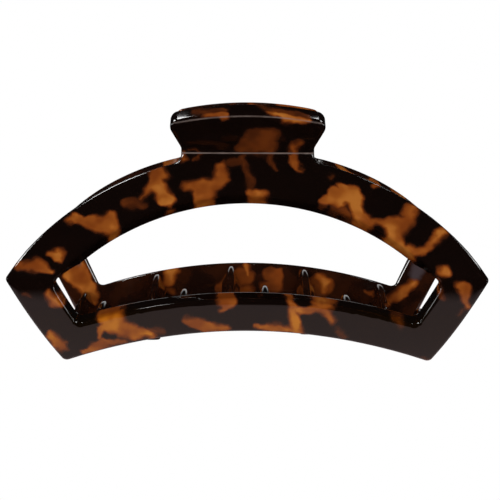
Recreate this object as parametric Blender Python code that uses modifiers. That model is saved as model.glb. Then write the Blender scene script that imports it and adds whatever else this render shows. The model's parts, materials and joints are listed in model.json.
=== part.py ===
"""Hair claw: two identical jaws of bent acetate sheet on a sprung steel hinge pin."""
import math

import bmesh
import bpy
from mathutils import Matrix, Vector

MM = 0.001
COLLECTION_NAME = "hair_claw"

# Sheet, mm
SHEET = 5.0
EDGE_CHAMFER = 0.65
CREASE_OFFSET = 10.0            # crease of the outer face to the middle plane of the clip

# Side profile, mm along the outer face down from the crease, and degrees
TAB_LENGTH = 11.0
TAB_LEAN = 33.0                 # from upright, outwards
CREASE_RADIUS = 0.6
BODY_SLOPE = 36.0               # from upright, outwards
BODY_LENGTH = 27.5
KNEE_LENGTH = 8.0
KNEE_RADIUS = 9.6
LOWER_RADIUS = 50.0
PROFILE_START = -22.0           # both ends lie past the sheet's edges
PROFILE_END = 70.0
CREASE_STRIPS = 4               # flat strips that stand for each bend
KNEE_STRIPS = 6
LOWER_STRIPS = 11

# Outline of the flat sheet, mm: half widths, and arcs by radius and depth of their highest point
TAB_HALF = 19.3
TAB_TOP_RADIUS = 72.0
NECK_HALF = 15.5
SIDE_HALF = 55.1
BOTTOM_HALF = 43.1
ARCH_RADIUS = 62.2
ARCH_DEPTH = -0.1
BOTTOM_RADIUS = 101.0
BOTTOM_DEPTH = 46.8
WINDOW_TOP_HALF = 44.3
WINDOW_LOW_HALF = 39.2
WINDOW_TOP_RADIUS = 54.0
WINDOW_TOP_DEPTH = 11.35
WINDOW_LOW_RADIUS = 108.5
WINDOW_LOW_DEPTH = 38.7

# Corner radii, mm
TAB_CORNER = 2.4
NECK_CORNER = 3.0
SIDE_CORNER = 1.3
BOTTOM_CORNER = 1.5
WINDOW_TOP_CORNER = 2.2
WINDOW_LOW_CORNER = 1.6
CORNER_STEP = 30.0              # degrees turned by each short side of a round corner
ARC_STEP = 6.2                  # mm across, for each side of a long arc
WELD = 0.001                    # mm, points closer than this are one point

# Teeth, mm and degrees
TOOTH_TABLE = (                 # place across the front jaw, size
    (-34.6, 1.0),
    (-15.0, 1.0),
    (4.2, 1.0),
    (23.6, 1.0),
    (42.2, 0.8),
)
TOOTH_ROOT_DROP = 1.2           # crest at the root below the window's lower edge
TOOTH_EDGE_MARGIN = 0.8         # root to the sheet's outer side
TOOTH_SINK = 1.5                # root inside the sheet
TOOTH_BOW = 33.0                # half the turn of the crest's arc
TOOTH_REACH = 6.5               # tip past the middle plane
TOOTH_TIP_DROP = 4.2            # tip below the bar's lower edge
TOOTH_CLEARANCE = 0.5           # lowest tip above the jaw's lower corners
TOOTH_WIDTH = (5.4, 4.6)        # at the root and the tip
TOOTH_HEIGHT = (5.5, 3.6)
TOOTH_CREST = 1.7               # width of the crest
TOOTH_CREST_DROP = 0.5          # from the flat of the crest down to its full width
TOOTH_CREST_FLAT = 0.7
TOOTH_WAIST = 2.3               # width lower down, where the flanks begin to spread
TOOTH_WAIST_SHARE = 0.4         # of the height, crest to waist
TOOTH_EDGE = 0.6
TOOTH_SECTIONS = 7
TIP_ROUND = 0.7

# Hinge, mm
PIN_DROP = 1.0                  # pin below the crease
PIN_RADIUS = 1.0
PIN_HOLE_RADIUS = 1.3
PIN_SIDES = 16
PIN_HEAD_RADIUS = 1.9
PIN_HEAD = 0.8
GAP = 0.3
LUG_RADIUS = 3.2
LUG_SPANS = ((-12.5, -9.5), (6.0, 9.0))
LUG_ROOT_HALF = 3.6             # half height of the lug where it meets the sheet
LUG_NOSE_START = -1.6           # where the root's straight sides meet the round nose
LUG_SINK = 3.0

# Torsion spring, mm
WIRE_RADIUS = 0.55
COIL_TURNS = 4
COIL_PITCH = 1.42
COIL_POINTS = 14
LEG_REST_DEPTH = -8.0           # where a leg meets the tab, along the outer face
LEG_FOOT = 3.0                  # length of leg lying along the tab
HEEL_GAP = 0.45                 # gap to the tab where the foot ends


def clear_scene():
    for item in list(bpy.data.objects):
        bpy.data.objects.remove(item, do_unlink=True)


def lerp(ends, share):
    return ends[0] + (ends[1] - ends[0]) * share


def profile_pieces():
    """Stretches of the side profile as (first depth, last depth, bend radius or 0, strips)."""
    crease = CREASE_RADIUS * math.radians(BODY_SLOPE + TAB_LEAN) / 2
    knee_end = BODY_LENGTH + KNEE_LENGTH
    return [
        (PROFILE_START, -crease, 0.0, 0),
        (-crease, crease, -CREASE_RADIUS, CREASE_STRIPS),
        (crease, BODY_LENGTH, 0.0, 0),
        (BODY_LENGTH, knee_end, KNEE_RADIUS, KNEE_STRIPS),
        (knee_end, PROFILE_END, LOWER_RADIUS, LOWER_STRIPS),
    ]


def profile_walk(depth):
    """Point (y, z) and outward tilt of the outer face, from the profile's own start."""
    y = 0.0
    z = 0.0
    tilt = -math.radians(TAB_LEAN)
    for first, last, radius, _ in profile_pieces():
        run = min(depth, last) - first
        if run <= 0:
            break
        if radius == 0:
            y -= math.sin(tilt) * run
            z -= math.cos(tilt) * run
        else:
            turned = tilt - run / radius
            y -= radius * (math.cos(turned) - math.cos(tilt))
            z += radius * (math.sin(turned) - math.sin(tilt))
            tilt = turned
    return y, z, tilt


CREASE_Y, CREASE_Z = profile_walk(0.0)[:2]


def bent(x, depth, inward=0.0):
    """Point of the front jaw's sheet, mm, with the hinge axis as the origin."""
    y, z, tilt = profile_walk(depth)
    return Vector((
        x,
        y - CREASE_Y - CREASE_OFFSET + inward * math.cos(tilt),
        z - CREASE_Z + PIN_DROP - inward * math.sin(tilt),
    ))


def arc_depth(x, top, radius):
    return top + radius - math.sqrt(radius * radius - x * x)


def bottom_depth(x):
    return arc_depth(x, BOTTOM_DEPTH, BOTTOM_RADIUS)


def window_low_depth(x):
    return arc_depth(x, WINDOW_LOW_DEPTH, WINDOW_LOW_RADIUS)


def side_depth(x):
    """Depth of the sheet's straight side at half width x."""
    side_top = arc_depth(SIDE_HALF, ARCH_DEPTH, ARCH_RADIUS)
    side_low = bottom_depth(BOTTOM_HALF)
    return lerp((side_top, side_low), (SIDE_HALF - x) / (SIDE_HALF - BOTTOM_HALF))


def arc_corners(x_from, x_to, top, radius):
    """Plain points between two half widths on a long arc, ends left out."""
    count = max(1, round(abs(x_to - x_from) / ARC_STEP))
    spots = [lerp((x_from, x_to), (k + 1) / count) for k in range(count - 1)]
    return [(x, arc_depth(x, top, radius), 0.0) for x in spots]


def mirrored_loop(half):
    """Whole outline from its right half, which starts and ends on the middle line."""
    left = [(-x, depth, radius) for x, depth, radius in reversed(half[1:-1])]
    return half + left


def outer_corners():
    tab_v = arc_depth(TAB_HALF, -TAB_LENGTH, TAB_TOP_RADIUS)
    arch_v = arc_depth(NECK_HALF, ARCH_DEPTH, ARCH_RADIUS)
    neck_x = NECK_HALF - (TAB_HALF - NECK_HALF) / -tab_v * arch_v
    neck_v = arc_depth(neck_x, ARCH_DEPTH, ARCH_RADIUS)
    side_v = arc_depth(SIDE_HALF, ARCH_DEPTH, ARCH_RADIUS)
    half = [(0.0, -TAB_LENGTH, 0.0)]
    half += arc_corners(0.0, TAB_HALF, -TAB_LENGTH, TAB_TOP_RADIUS)
    half.append((TAB_HALF, tab_v, TAB_CORNER))
    half.append((neck_x, neck_v, NECK_CORNER))
    half += arc_corners(neck_x, SIDE_HALF, ARCH_DEPTH, ARCH_RADIUS)
    half.append((SIDE_HALF, side_v, SIDE_CORNER))
    half.append((BOTTOM_HALF, bottom_depth(BOTTOM_HALF), BOTTOM_CORNER))
    half += arc_corners(BOTTOM_HALF, 0.0, BOTTOM_DEPTH, BOTTOM_RADIUS)
    half.append((0.0, BOTTOM_DEPTH, 0.0))
    return mirrored_loop(half)


def window_corners():
    top_v = arc_depth(WINDOW_TOP_HALF, WINDOW_TOP_DEPTH, WINDOW_TOP_RADIUS)
    half = [(0.0, WINDOW_TOP_DEPTH, 0.0)]
    half += arc_corners(0.0, WINDOW_TOP_HALF, WINDOW_TOP_DEPTH, WINDOW_TOP_RADIUS)
    half.append((WINDOW_TOP_HALF, top_v, WINDOW_TOP_CORNER))
    half.append((WINDOW_LOW_HALF, window_low_depth(WINDOW_LOW_HALF), WINDOW_LOW_CORNER))
    half += arc_corners(WINDOW_LOW_HALF, 0.0, WINDOW_LOW_DEPTH, WINDOW_LOW_RADIUS)
    half.append((0.0, WINDOW_LOW_DEPTH, 0.0))
    return mirrored_loop(half)


def rounded(corners):
    """Closed list of points (x, up) from corners (x, depth, radius)."""
    points = []
    count = len(corners)
    spots = [Vector((x, -depth)) for x, depth, radius in corners]
    for index, here in enumerate(spots):
        radius = corners[index][2]
        if radius == 0:
            points.append(here)
            continue
        back = (spots[index - 1] - here).normalized()
        on = (spots[(index + 1) % count] - here).normalized()
        half_angle = back.angle(on) / 2
        centre = here + (back + on).normalized() * radius / math.sin(half_angle)
        start = here + back * radius / math.tan(half_angle) - centre
        end = here + on * radius / math.tan(half_angle) - centre
        sweep = math.atan2(start.cross(end), start.dot(end))
        steps = max(2, math.ceil(abs(math.degrees(sweep)) / CORNER_STEP))
        for step in range(steps + 1):
            points.append(centre + Matrix.Rotation(sweep * step / steps, 2) @ start)
    return points


def plate_mesh(name, loops, thickness, chamfer=0.0):
    """Closed flat plate in the XY plane, mm, filled between an outline and its holes."""
    curve = bpy.data.curves.new(name, "CURVE")
    curve.dimensions = "2D"
    curve.fill_mode = "BOTH"
    curve.extrude = thickness / 2 - chamfer
    curve.bevel_depth = chamfer
    curve.bevel_resolution = 0
    curve.offset = -chamfer
    for points in loops:
        spline = curve.splines.new("POLY")
        spline.points.add(len(points) - 1)
        for spot, point in zip(spline.points, points):
            spot.co = (point.x, point.y, 0.0, 1.0)
        spline.use_cyclic_u = True
    holder = bpy.data.objects.new(name, curve)
    bpy.context.scene.collection.objects.link(holder)
    bpy.context.view_layer.update()
    evaluated = holder.evaluated_get(bpy.context.evaluated_depsgraph_get())
    mesh = bpy.data.meshes.new_from_object(evaluated)
    bpy.data.objects.remove(holder, do_unlink=True)
    solid = bmesh.new()
    solid.from_mesh(mesh)
    bpy.data.meshes.remove(mesh)
    bmesh.ops.remove_doubles(solid, verts=solid.verts, dist=WELD)
    return solid


def bend_depths():
    """Depths of the straight lines along which the sheet is folded into facets."""
    lines = []
    for first, last, _, strips in profile_pieces():
        if strips:
            lines += [lerp((first, last), k / strips) for k in range(strips)]
            if last < PROFILE_END:
                lines.append(last)
    deepest = bottom_depth(BOTTOM_HALF)
    return [depth for depth in lines if depth < deepest]


def bent_sheet():
    """The jaw's sheet, bent to its side profile."""
    solid = plate_mesh("sheet", [rounded(outer_corners()), rounded(window_corners())[::-1]],
                       SHEET, EDGE_CHAMFER)
    for depth in bend_depths():
        everything = solid.verts[:] + solid.edges[:] + solid.faces[:]
        bmesh.ops.bisect_plane(solid, geom=everything, dist=WELD / 10,
                               plane_co=(0.0, -depth, 0.0), plane_no=(0.0, 1.0, 0.0))
    bmesh.ops.triangulate(solid, faces=solid.faces[:])
    for vert in solid.verts:
        vert.co = bent(vert.co.x, -vert.co.y, SHEET / 2 - vert.co.z)
    return solid


def loft(rings):
    """Closed solid through rings of points of equal count, flat at both ends."""
    solid = bmesh.new()
    rows = [[solid.verts.new(point) for point in ring] for ring in rings]
    count = len(rows[0])
    for row, following in zip(rows, rows[1:]):
        for k in range(count):
            after = (k + 1) % count
            solid.faces.new((row[k], row[after], following[after], following[k]))
    solid.faces.new(reversed(rows[0]))
    solid.faces.new(rows[-1])
    return solid


def tooth_section(width, height, shrink):
    """Section of a tooth, crest at the top, as (across, up) with the crest's top at 0."""
    half = width / 2
    right = [
        (half - TOOTH_EDGE, -height),
        (half, TOOTH_EDGE - height),
        (TOOTH_WAIST * shrink / 2, -height * TOOTH_WAIST_SHARE),
        (TOOTH_CREST * shrink / 2, -TOOTH_CREST_DROP * shrink),
        (TOOTH_CREST_FLAT * shrink / 2, 0.0),
    ]
    left = [(-across, up) for across, up in reversed(right)]
    return right + left


def tooth_solid(x, size, floor):
    """One tooth: a keeled claw that curves inwards and down from the bar."""
    base_limit = side_depth(abs(x) + TOOTH_WIDTH[0] * size / 2) - TOOTH_EDGE_MARGIN
    root_limit = base_limit - TOOTH_HEIGHT[0] * size
    root_depth = min(window_low_depth(x) + TOOTH_ROOT_DROP, root_limit)
    root = bent(x, root_depth, SHEET)
    lowest = max(bent(x, bottom_depth(x)).z - TOOTH_TIP_DROP, floor + TOOTH_CLEARANCE)
    tip_height = TOOTH_HEIGHT[1] * size * math.cos(math.radians(TOOTH_BOW))
    tip = Vector((x, TOOTH_REACH, lowest + tip_height))
    chord = tip - root
    lean = math.atan2(chord.z, chord.y)
    bow = math.radians(TOOTH_BOW)
    radius = chord.length / (2 * math.sin(bow))
    centre_y = root.y + radius * math.sin(lean + bow)
    centre_z = root.z - radius * math.cos(lean + bow)
    first = lean + bow + TOOTH_SINK / radius
    last = lean - bow
    rings = []
    for step in range(TOOTH_SECTIONS + 1):
        share = min(step / (TOOTH_SECTIONS - 1), 1.0)
        slope = lerp((first, last), share)
        shrink = size
        ahead = 0.0
        if step == TOOTH_SECTIONS:
            shrink = size - TIP_ROUND / TOOTH_HEIGHT[1]
            ahead = TIP_ROUND / 2
        height = lerp(TOOTH_HEIGHT, share)
        section = tooth_section(lerp(TOOTH_WIDTH, share) * shrink, height * shrink, shrink)
        inset = height * (size - shrink) / 2
        ring = []
        for across, up in section:
            out = radius - inset + up
            ring.append((
                x + across,
                centre_y - math.sin(slope) * out + math.cos(slope) * ahead,
                centre_z + math.cos(slope) * out + math.sin(slope) * ahead,
            ))
        rings.append(ring)
    return loft(rings)


def circle(radius, sides, centre=(0.0, 0.0)):
    turn = 2 * math.pi / sides
    return [Vector((centre[0] + radius * math.cos(turn * (k + 0.5)),
                    centre[1] + radius * math.sin(turn * (k + 0.5)))) for k in range(sides)]


def lug_solid(span):
    """Hinge lug: a plate from the sheet's inner face to round the pin, with its hole."""
    root_y = bent(0.0, 0.0, SHEET).y - LUG_SINK
    root = [Vector((root_y, LUG_ROOT_HALF)), Vector((root_y, -LUG_ROOT_HALF))]
    nose = [point for point in circle(LUG_RADIUS, PIN_SIDES) if point.x > LUG_NOSE_START]
    nose.sort(key=lambda point: math.atan2(point.y, point.x))
    hole = circle(PIN_HOLE_RADIUS, PIN_SIDES)
    solid = plate_mesh("lug", [root + nose, hole[::-1]], span[1] - span[0])
    middle = (span[0] + span[1]) / 2
    stand = Matrix(((0, 0, 1, middle), (1, 0, 0, 0), (0, 1, 0, 0), (0, 0, 0, 1)))
    bmesh.ops.transform(solid, matrix=stand, verts=solid.verts)
    return solid


def as_object(name, solid, collection):
    """Object from a bmesh in mm, with its faces pointing out."""
    bmesh.ops.recalc_face_normals(solid, faces=solid.faces[:])
    bmesh.ops.scale(solid, vec=(MM, MM, MM), verts=solid.verts)
    mesh = bpy.data.meshes.new(name)
    solid.to_mesh(mesh)
    solid.free()
    item = bpy.data.objects.new(name, mesh)
    collection.objects.link(item)
    return item


def joined_mesh(name, base, additions):
    """Mesh of a solid united with the additions, which are then removed."""
    for index, extra in enumerate(additions):
        union = base.modifiers.new("union_%d" % index, "BOOLEAN")
        union.operation = "UNION"
        union.solver = "EXACT"
        union.object = extra
    bpy.context.view_layer.update()
    evaluated = base.evaluated_get(bpy.context.evaluated_depsgraph_get())
    mesh = bpy.data.meshes.new_from_object(evaluated)
    mesh.name = name
    for extra in additions + [base]:
        bpy.data.objects.remove(extra, do_unlink=True)
    return mesh


def material(name, colour, roughness, metallic):
    finish = bpy.data.materials.new(name)
    finish.use_nodes = True
    shader = finish.node_tree.nodes["Principled BSDF"]
    shader.inputs["Base Color"].default_value = (*colour, 1.0)
    shader.inputs["Roughness"].default_value = roughness
    shader.inputs["Metallic"].default_value = metallic
    return finish


def jaw_mesh(workshop):
    """The jaw's mesh, and the height of its hinge axis over its lower corners in mm."""
    sheet = bent_sheet()
    floor = min(vert.co.z for vert in sheet.verts)
    additions = [as_object("lug", lug_solid(span), workshop) for span in LUG_SPANS]
    for place, size in TOOTH_TABLE:
        additions.append(as_object("tooth", tooth_solid(place, size, floor), workshop))
    base = as_object("sheet", sheet, workshop)
    return joined_mesh("jaw", base, additions), -floor


def add_jaws(collection, hinge, mesh):
    """Both jaws share one mesh; the back one is turned half round the upright axis."""
    acetate = material("tortoiseshell_acetate", (0.045, 0.022, 0.012), 0.12, 0.0)
    mesh.materials.clear()
    mesh.materials.append(acetate)
    for name, turn in (("front_jaw", 0.0), ("back_jaw", math.pi)):
        jaw = bpy.data.objects.new(name, mesh)
        collection.objects.link(jaw)
        jaw.parent = hinge
        jaw.rotation_euler.z = turn


def add_pin(collection, hinge, steel):
    """Turned pin along X with a flat head outside each outer lug."""
    reach = max(abs(end) for span in LUG_SPANS for end in span) + GAP
    turned = [(0.0, reach + PIN_HEAD), (PIN_HEAD_RADIUS - GAP, reach + PIN_HEAD),
              (PIN_HEAD_RADIUS, reach + PIN_HEAD - GAP), (PIN_HEAD_RADIUS, reach),
              (PIN_RADIUS, reach)]
    turned += [(radius, -along) for radius, along in reversed(turned)]
    profile = bmesh.new()
    verts = [profile.verts.new((along, 0.0, radius)) for radius, along in turned]
    for first, second in zip(verts, verts[1:]):
        profile.edges.new((first, second))
    pin = as_object("hinge_pin", profile, collection)
    pin.data.materials.append(steel)
    pin.parent = hinge
    screw = pin.modifiers.new("turned", "SCREW")
    screw.axis = "X"
    screw.steps = PIN_SIDES
    screw.render_steps = PIN_SIDES
    screw.use_merge_vertices = True
    screw.merge_threshold = WELD * MM
    screw.use_normal_calculate = True


def spring_points():
    """Centre line of the spring: a leg, the coil and the other leg, in mm."""
    mean_radius = PIN_RADIUS + GAP + WIRE_RADIUS
    foot = bent(0.0, LEG_REST_DEPTH, SHEET + WIRE_RADIUS + GAP)
    heel = bent(0.0, LEG_REST_DEPTH + LEG_FOOT, SHEET + WIRE_RADIUS + HEEL_GAP)
    to_heel = Vector((heel.y, heel.z))
    aim = math.atan2(to_heel.y, to_heel.x)
    start = aim + math.acos(mean_radius / to_heel.length)
    sweep = COIL_TURNS * 2 * math.pi + (math.pi - 2 * start) % (2 * math.pi)
    length = COIL_PITCH * sweep / (2 * math.pi)
    steps = round(sweep / (2 * math.pi) * COIL_POINTS)
    coil = []
    for step in range(steps + 1):
        share = step / steps
        angle = start + sweep * share
        coil.append(Vector((length * (share - 0.5), mean_radius * math.cos(angle),
                            mean_radius * math.sin(angle))))
    side = coil[0].x
    leg = [Vector((side, foot.y, foot.z)), Vector((side, heel.y, heel.z))]
    other_leg = [Vector((-point.x, -point.y, point.z)) for point in reversed(leg)]
    return leg + coil + other_leg


def add_spring(collection, hinge, steel):
    points = spring_points()
    wire = bpy.data.curves.new("coil_spring", "CURVE")
    wire.dimensions = "3D"
    wire.bevel_depth = WIRE_RADIUS * MM
    wire.bevel_resolution = 2
    wire.use_fill_caps = True
    spline = wire.splines.new("POLY")
    spline.points.add(len(points) - 1)
    for spot, point in zip(spline.points, points):
        spot.co = (*(point * MM), 1.0)
    wire.materials.append(steel)
    spring = bpy.data.objects.new("coil_spring", wire)
    collection.objects.link(spring)
    spring.parent = hinge


def build():
    clear_scene()
    scene = bpy.context.scene
    collection = bpy.data.collections.new(COLLECTION_NAME)
    workshop = bpy.data.collections.new("workshop")
    scene.collection.children.link(collection)
    scene.collection.children.link(workshop)
    mesh, hinge_height = jaw_mesh(workshop)
    hinge = bpy.data.objects.new("hinge_axis", None)
    hinge.location.z = hinge_height * MM
    collection.objects.link(hinge)
    steel = material("spring_steel", (0.55, 0.54, 0.52), 0.3, 1.0)
    add_jaws(collection, hinge, mesh)
    add_pin(collection, hinge, steel)
    add_spring(collection, hinge, steel)
    bpy.context.view_layer.update()


build()
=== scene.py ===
import json
from math import acos, atan2, ceil, cos, degrees, pi, radians, sin, sqrt, tan

import bmesh
import bpy
import numpy as np
from mathutils import Matrix, Vector


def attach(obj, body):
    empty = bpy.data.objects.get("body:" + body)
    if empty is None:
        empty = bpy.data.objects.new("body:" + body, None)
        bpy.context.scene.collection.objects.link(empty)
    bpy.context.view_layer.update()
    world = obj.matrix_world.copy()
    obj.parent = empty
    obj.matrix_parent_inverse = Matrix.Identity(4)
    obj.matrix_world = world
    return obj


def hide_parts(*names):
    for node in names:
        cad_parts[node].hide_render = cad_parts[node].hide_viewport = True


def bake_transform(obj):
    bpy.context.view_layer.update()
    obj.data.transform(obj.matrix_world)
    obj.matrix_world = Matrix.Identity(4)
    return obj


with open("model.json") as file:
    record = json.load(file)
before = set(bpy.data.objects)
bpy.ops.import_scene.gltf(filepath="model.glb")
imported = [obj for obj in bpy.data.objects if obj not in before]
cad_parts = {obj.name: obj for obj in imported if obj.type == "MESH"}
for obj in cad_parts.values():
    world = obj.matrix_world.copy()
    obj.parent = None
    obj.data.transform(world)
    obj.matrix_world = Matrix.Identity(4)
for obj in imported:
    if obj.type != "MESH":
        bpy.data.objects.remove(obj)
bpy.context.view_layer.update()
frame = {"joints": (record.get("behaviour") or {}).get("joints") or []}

# Units
MM = 0.001
HINGE_HEIGHT = frame["joints"][0]["pos_m"][2] / MM

# Acetate sheet and its side profile: mm along the outer face from the crease, and degrees
SHEET = 5.0
EDGE_ROUND = 1.1
CREASE_OFFSET = 10.0
PIN_DROP = 1.0
TAB_LENGTH = 11.0
TAB_LEAN = 33.0
CREASE_RADIUS = 0.6
BODY_SLOPE = 36.0
BODY_LENGTH = 27.5
KNEE_LENGTH = 8.0
KNEE_RADIUS = 9.6
LOWER_RADIUS = 50.0
PROFILE_START = -22.0
PROFILE_END = 70.0
CREASE_TURN = radians(BODY_SLOPE + TAB_LEAN)
CREASE_HALF = CREASE_RADIUS * CREASE_TURN / 2
KNEE_END = BODY_LENGTH + KNEE_LENGTH

# Outline of the flat sheet, mm: half widths, arcs by top depth and radius, corner radii
TAB_HALF = 19.3
NECK_HALF = 15.5
SIDE_HALF = 55.1
BOTTOM_HALF = 43.1
WINDOW_TOP_HALF = 44.3
WINDOW_LOW_HALF = 39.2
TAB_ARC = (-TAB_LENGTH, 72.0)
ARCH_ARC = (-0.1, 62.2)
BOTTOM_ARC = (46.8, 101.0)
WINDOW_TOP_ARC = (11.35, 54.0)
# The window's lower edge, 0.7 to 1 mm higher than in the solids, as the photo shows
WINDOW_LOW_ARC = (38.0, 113.0)
TAB_CORNER = 2.4
NECK_CORNER = 3.0
SIDE_CORNER = 1.3
BOTTOM_CORNER = 1.5
WINDOW_TOP_CORNER = 2.2
WINDOW_LOW_CORNER = 1.6

# How finely shapes are drawn: degrees, mm and counts
CORNER_STEP = 9.0
ARC_STEP = 1.5
CORNER_CLEAR = 4.2
EDGE_STEPS = 3
WELD = 0.001
PLACE_STEP = 0.1
PLACE_BLOCK = 4000
JAW_CREASE_ANGLE = 32.0
STEEL_CREASE_ANGLE = 40.0

# The three bends, in the order in which they are made
BEND_PARTS = ("start", "length", "radius", "way")
BENDS = (
    ("lower", KNEE_END, PROFILE_END - KNEE_END, LOWER_RADIUS, 1.0),
    ("knee", BODY_LENGTH, KNEE_LENGTH, KNEE_RADIUS, 1.0),
    ("crease", -CREASE_HALF, 2 * CREASE_HALF, -CREASE_RADIUS, -1.0),
)
BEND_INPUTS = {name + " " + part: size
               for name, *sizes in BENDS for part, size in zip(BEND_PARTS, sizes)}

# Stretches cut into strips so that they bend smoothly: first depth, last depth, strips
STRIPS = (
    (-CREASE_HALF, CREASE_HALF, 14),
    (BODY_LENGTH, KNEE_END, 26),
    (KNEE_END, 60.0, 24),
)

# Teeth, mm and degrees: place across the front jaw, size
TEETH = (
    (-34.6, 1.0),
    (-15.0, 1.0),
    (4.2, 1.0),
    (23.6, 1.0),
    (42.2, 0.8),
)
TOOTH_ROOT_DROP = 1.2
TOOTH_EDGE_MARGIN = 0.8
TOOTH_SINK = 1.5
TOOTH_BOW = 33.0
TOOTH_REACH = 6.5
TOOTH_TIP_DROP = 4.2
TOOTH_CLEARANCE = 0.5
TOOTH_WIDTH = (5.4, 4.6)
TOOTH_HEIGHT = (5.5, 3.6)
TOOTH_CREST = 1.7
TOOTH_CREST_DROP = 0.5
TOOTH_CREST_FLAT = 0.7
TOOTH_WAIST = 2.3
TOOTH_WAIST_SHARE = 0.4
TOOTH_EDGE = 0.6
TOOTH_CORNER_CUT = 0.2
TOOTH_SECTIONS = 26
TIP_SECTIONS = 5
TIP_ROUND = 0.9

# Hinge, mm
PIN_RADIUS = 1.0
PIN_HOLE_RADIUS = 1.3
PIN_HEAD_RADIUS = 1.9
PIN_HEAD = 0.8
PIN_HEAD_ROUND = 0.45
PIN_HEAD_CHAMFER = 0.1
PIN_HEAD_STEPS = 6
PIN_SIDES = 64
GAP = 0.3
LUG_RADIUS = 3.2
LUG_SPANS = ((-12.5, -9.5), (6.0, 9.0))
LUG_ROOT_HALF = 3.6
LUG_NOSE_START = -1.6
LUG_SINK = 3.0
LUG_ROUND = 0.25

# Torsion spring, mm
WIRE_RADIUS = 0.55
WIRE_SIDES = 16
COIL_TURNS = 4
COIL_PITCH = 1.42
COIL_POINTS = 40
LEG_REST_DEPTH = -8.0
LEG_FOOT = 3.0
HEEL_GAP = 0.45
HEEL_ROUND = 1.2
HEEL_STEPS = 8


# Node trees

class Signal:
    """A value on its way through a node tree; whatever is done to it adds a node."""

    def __init__(self, tree, socket):
        self.tree = tree
        self.socket = socket

    def reckon(self, operation, *others):
        """Arithmetic on numbers, or on vectors where this is one.

        Numbers become vectors in nodes of their own: links that convert leave a long tree black.
        """
        vector = self.socket.type in ("VECTOR", "RGBA")
        if vector:
            others = [add_node(self.tree, "ShaderNodeCombineXYZ", (other,) * 3)
                      if isinstance(other, Signal) and other.socket.type == "VALUE" else other
                      for other in others]
        return add_node(self.tree, "ShaderNodeVectorMath" if vector else "ShaderNodeMath",
                        (self, *others), int(operation in ("DOT_PRODUCT", "LENGTH")),
                        operation=operation)

    def __add__(self, other):
        return self.reckon("ADD", other)

    def __sub__(self, other):
        return self.reckon("SUBTRACT", other)

    def __mul__(self, other):
        return self.reckon("MULTIPLY", other)

    def __truediv__(self, other):
        return self.reckon("DIVIDE", other)

    def __abs__(self):
        return self.reckon("ABSOLUTE")

    def split(self):
        node = self.tree.nodes.new("ShaderNodeSeparateXYZ")
        join(self.tree, self, node.inputs[0])
        return [Signal(self.tree, socket) for socket in node.outputs]

    def noise(self, period, detail=2.0, roughness=0.5, distortion=0.0, output="Fac"):
        """Noise whose patches are about one period wide."""
        return add_node(self.tree, "ShaderNodeTexNoise", {
            "Vector": self, "Scale": 1.0 / period, "Detail": detail,
            "Roughness": roughness, "Distortion": distortion,
        }, output)

    def spread(self, low, high, new_low=0.0, new_high=1.0, smooth=True):
        """This value taken from one range to another, and held there."""
        return add_node(self.tree, "ShaderNodeMapRange", (self, low, high, new_low, new_high),
                        interpolation_type="SMOOTHSTEP" if smooth else "LINEAR")

    def between(self, first, second):
        """The number that lies this share of the way from the first to the second."""
        return add_node(self.tree, "ShaderNodeMix", {0: self, 2: first, 3: second},
                        data_type="FLOAT")

    def tinted(self, colour, over, blend="MIX"):
        """A colour with another laid over it by this share."""
        return add_node(self.tree, "ShaderNodeMix", {0: self, 6: colour, 7: (*over, 1.0)}, 2,
                        data_type="RGBA", blend_type=blend)


def join(tree, value, socket):
    """Links a signal, or sets a plain value."""
    if isinstance(value, Signal):
        tree.links.new(value.socket, socket)
    elif socket.type == "VECTOR" and isinstance(value, float):
        socket.default_value = (value,) * 3
    else:
        socket.default_value = value


def add_node(tree, kind, inputs=(), output=0, **settings):
    """One output of a new node; inputs go by socket order, or by name or number in a dict."""
    node = tree.nodes.new(kind)
    for key, value in settings.items():
        setattr(node, key, value)
    pairs = inputs.items() if isinstance(inputs, dict) else enumerate(inputs)
    for key, value in pairs:
        join(tree, value, node.inputs[key])
    return Signal(tree, node.outputs[output])


def end_tree(tree, kind, surface):
    join(tree, surface, tree.nodes.new(kind).inputs["Surface"])


def colour_ramp(value, stops):
    ramp = value.tree.nodes.new("ShaderNodeValToRGB")
    join(value.tree, value, ramp.inputs[0])
    elements = ramp.color_ramp.elements
    while len(elements) < len(stops):
        elements.new(1.0)
    for element, (position, colour) in zip(elements, stops):
        element.position = position
        element.color = (*colour, 1.0)
    return Signal(value.tree, ramp.outputs[0])


def new_group(name, kind, inputs, outputs):
    """Node group and its inputs by name; each socket is (name, kind) and may have a default."""
    group = bpy.data.node_groups.new(name, kind + "NodeTree")
    for way, sockets in (("INPUT", inputs), ("OUTPUT", outputs)):
        for label, sort, *default in sockets:
            socket = group.interface.new_socket(label, in_out=way, socket_type="NodeSocket" + sort)
            if default:
                socket.default_value = default[0]
    given = group.nodes.new("NodeGroupInput").outputs
    return group, {label: Signal(group, given[label]) for label, *_ in inputs}


def close_group(group, **results):
    """Output node of a group, fed by socket names with underscores for spaces."""
    out = group.nodes.new("NodeGroupOutput")
    for key, value in results.items():
        join(group, value, out.inputs[key.replace("_", " ")])


def use_group(tree, group, **inputs):
    """Outputs of a group, fed by socket names with underscores for spaces."""
    node = tree.nodes.new(group.bl_idname.replace("Tree", "Group"))
    node.node_tree = group
    for key, value in inputs.items():
        join(tree, value, node.inputs[key.replace("_", " ")])
    return {socket.name: Signal(tree, socket) for socket in node.outputs}


# Tortoiseshell layout, charted on the flat sheet
# Each patch is a row of brush points: mm across, mm down from the crease, half width.

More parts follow.
